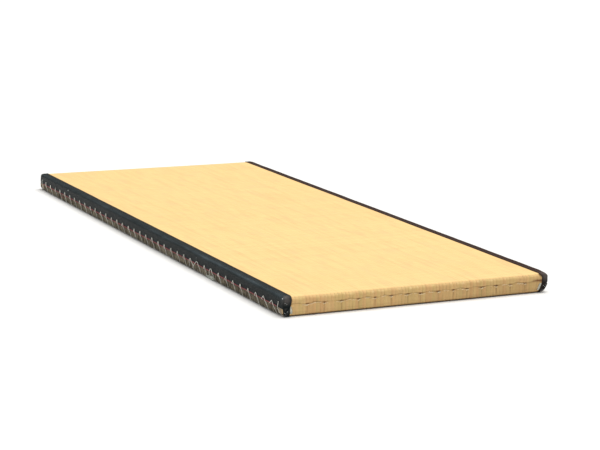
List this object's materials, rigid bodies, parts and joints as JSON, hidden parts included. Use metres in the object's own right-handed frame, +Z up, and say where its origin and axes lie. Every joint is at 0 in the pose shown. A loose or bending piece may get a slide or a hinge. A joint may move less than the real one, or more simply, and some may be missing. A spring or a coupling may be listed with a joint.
{
  "type": "tatami mat",
  "caption": "Long flat tatami mat: straw core, woven rush facing folded over the short ends, dark cloth borders stitched along the long sides.",
  "frame": {"origin": "on the floor under the middle of the mat", "axes": "+X across the mat from its left long side to its right one, +Y along the mat away from the viewer, +Z up"},
  "size_m": [0.8105, 2.002, 0.0553],
  "materials": {
    "straw": "pressed rice straw, matt grey-brown, sewn through with twine",
    "rush": "woven rush, golden, ribbed along the mat, low sheen",
    "border_cloth": "black cotton tape, close weave, faint blue-grey sheen",
    "backing_paper": "off-white paper backing, matt"
  },
  "bodies": {
    "root": {"straw_core": "straw", "rush_facing": "rush", "border_left": "border_cloth", "border_right": "border_cloth", "paper_near_left": "backing_paper", "paper_near_right": "backing_paper", "paper_far_left": "backing_paper", "paper_far_right": "backing_paper"}
  },
  "joints": []
}
